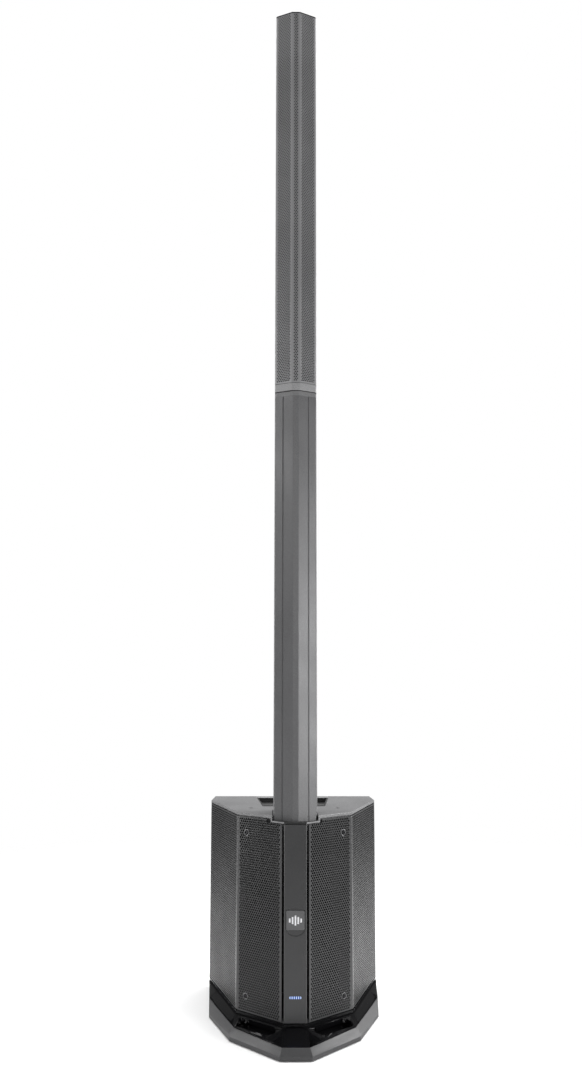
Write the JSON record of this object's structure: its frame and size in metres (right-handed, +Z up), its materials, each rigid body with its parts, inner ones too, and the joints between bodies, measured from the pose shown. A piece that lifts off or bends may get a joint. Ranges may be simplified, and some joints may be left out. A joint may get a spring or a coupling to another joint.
{
  "type": "column PA system",
  "caption": "Tall slim loudspeaker column that plugs into a spacer and a faceted bass cabinet on a wide plinth, for portable sound reinforcement.",
  "frame": {"origin": "on the floor, under the middle of the bounding box", "axes": "+Z up, the front towards -Y, +X to the right seen from the front"},
  "size_m": [0.35, 0.432, 2.03],
  "materials": {
    "plinth_textured": "fine texture",
    "tray_gloss": "gloss",
    "rubber": "matte",
    "screw_black": "black oxide",
    "cabinet_plastic": "fine texture",
    "cap_plastic": "fine texture",
    "board_wood": "black paint",
    "black_plastic": "matte",
    "grille_metal": "powder coat",
    "foam": "open foam",
    "trim_plastic": "satin",
    "badge_plastic": "satin",
    "light_lens": "emissive",
    "basket_metal": "powder coat",
    "magnet_iron": "plated",
    "cone_paper": "pressed fibre",
    "surround_rubber": "matte",
    "spider_cloth": "woven",
    "coil_metal": "satin",
    "panel_metal": "powder coat",
    "sink_aluminium": "black anodised",
    "board_epoxy": "solder mask",
    "contact_brass": "gold plate",
    "knob_plastic": "satin",
    "column_metal": "fine texture",
    "lead_sleeve": "satin"
  },
  "bodies": {
    "sub": {"base_plinth": "plinth_textured", "base_tray": "tray_gloss", "rubber_feet": "rubber", "plinth_screws": "screw_black", "cabinet_shell": "cabinet_plastic", "front_baffle": "board_wood", "port_tubes": "black_plastic", "top_cap": "cap_plastic", "handle_cup": "black_plastic", "handle_bar": "black_plastic", "column_socket": "black_plastic", "socket_contacts": "contact_brass", "grille_left": "grille_metal", "grille_right": "grille_metal", "grille_foam": "foam", "cabinet_screws": "screw_black", "centre_trim": "trim_plastic", "badge_plate": "badge_plastic", "status_light": "light_lens", "woofer_basket": "basket_metal", "woofer_surround": "surround_rubber", "woofer_spider": "spider_cloth", "woofer_magnet": "magnet_iron", "woofer_screws": "screw_black", "rear_panel": "panel_metal", "panel_screws": "screw_black", "input_jack_1": "black_plastic", "input_jack_2": "black_plastic", "output_jack": "black_plastic", "aux_jack": "black_plastic", "power_inlet": "black_plastic", "heatsink": "sink_aluminium", "mixer_board": "board_epoxy", "amp_board": "board_epoxy", "power_supply": "board_epoxy"},
    "spacer": {"spacer_body": "column_metal", "spacer_foot": "black_plastic", "spacer_head": "cap_plastic", "spacer_contacts": "contact_brass", "spacer_leads": "lead_sleeve"},
    "array": {"array_shell": "column_metal", "array_grille": "grille_metal", "array_foam": "foam", "array_foot": "cap_plastic", "array_cap": "black_plastic", "array_baffle": "black_plastic", "driver_frames": "basket_metal", "driver_surrounds": "surround_rubber", "driver_magnets": "magnet_iron", "driver_screws": "screw_black"},
    "array_cones": {"driver_cones": "cone_paper"},
    "woofer_motor": {"woofer_cone": "cone_paper", "woofer_dust_cap": "cone_paper", "voice_coil": "coil_metal"},
    "level_knob_1": {"level_knob_1": "knob_plastic"},
    "level_knob_2": {"level_knob_2": "knob_plastic"},
    "aux_knob": {"aux_knob": "knob_plastic"},
    "sub_knob": {"sub_knob": "knob_plastic"},
    "power_rocker": {"power_rocker": "knob_plastic"},
    "link_button": {"link_button": "knob_plastic"}
  },
  "joints": [
    {"name": "spacer_lift", "type": "slide", "parent": "sub", "child": "spacer", "axis": [0, 0, 1], "range_m": [0, 0.1]},
    {"name": "array_lift", "type": "slide", "parent": "spacer", "child": "array", "axis": [0, 0, 1], "range_m": [0, 0.09]},
    {"name": "woofer_travel", "type": "slide", "parent": "sub", "child": "woofer_motor", "axis": [0, 1, 0], "range_m": [-0.005, 0.005], "stiffness_N_per_m": 2500, "deforming": ["woofer_surround", "woofer_spider"]},
    {"name": "array_cone_travel", "type": "slide", "parent": "array", "child": "array_cones", "axis": [0, 1, 0], "range_m": [-0.0015, 0.0015], "stiffness_N_per_m": 6000, "deforming": ["driver_surrounds"]},
    {"name": "level_knob_1_turn", "type": "hinge", "parent": "sub", "child": "level_knob_1", "pos_m": [-0.078, 0.193, 0.248], "axis": [0, 1, 0], "range_deg": [-150, 150]},
    {"name": "level_knob_2_turn", "type": "hinge", "parent": "sub", "child": "level_knob_2", "pos_m": [-0.03, 0.193, 0.248], "axis": [0, 1, 0], "range_deg": [-150, 150]},
    {"name": "aux_knob_turn", "type": "hinge", "parent": "sub", "child": "aux_knob", "pos_m": [0.022, 0.193, 0.248], "axis": [0, 1, 0], "range_deg": [-150, 150]},
    {"name": "sub_knob_turn", "type": "hinge", "parent": "sub", "child": "sub_knob", "pos_m": [0.076, 0.193, 0.248], "axis": [0, 1, 0], "range_deg": [-150, 150]},
    {"name": "power_rocker_tilt", "type": "hinge", "parent": "sub", "child": "power_rocker", "pos_m": [-0.03, 0.1945, 0.094], "axis": [1, 0, 0], "range_deg": [0, 19.5]},
    {"name": "link_button_press", "type": "slide", "parent": "sub", "child": "link_button", "axis": [0, -1, 0], "range_m": [0, 0.0015], "stiffness_N_per_m": 400, "springref_m": -0.0005}
  ]
}
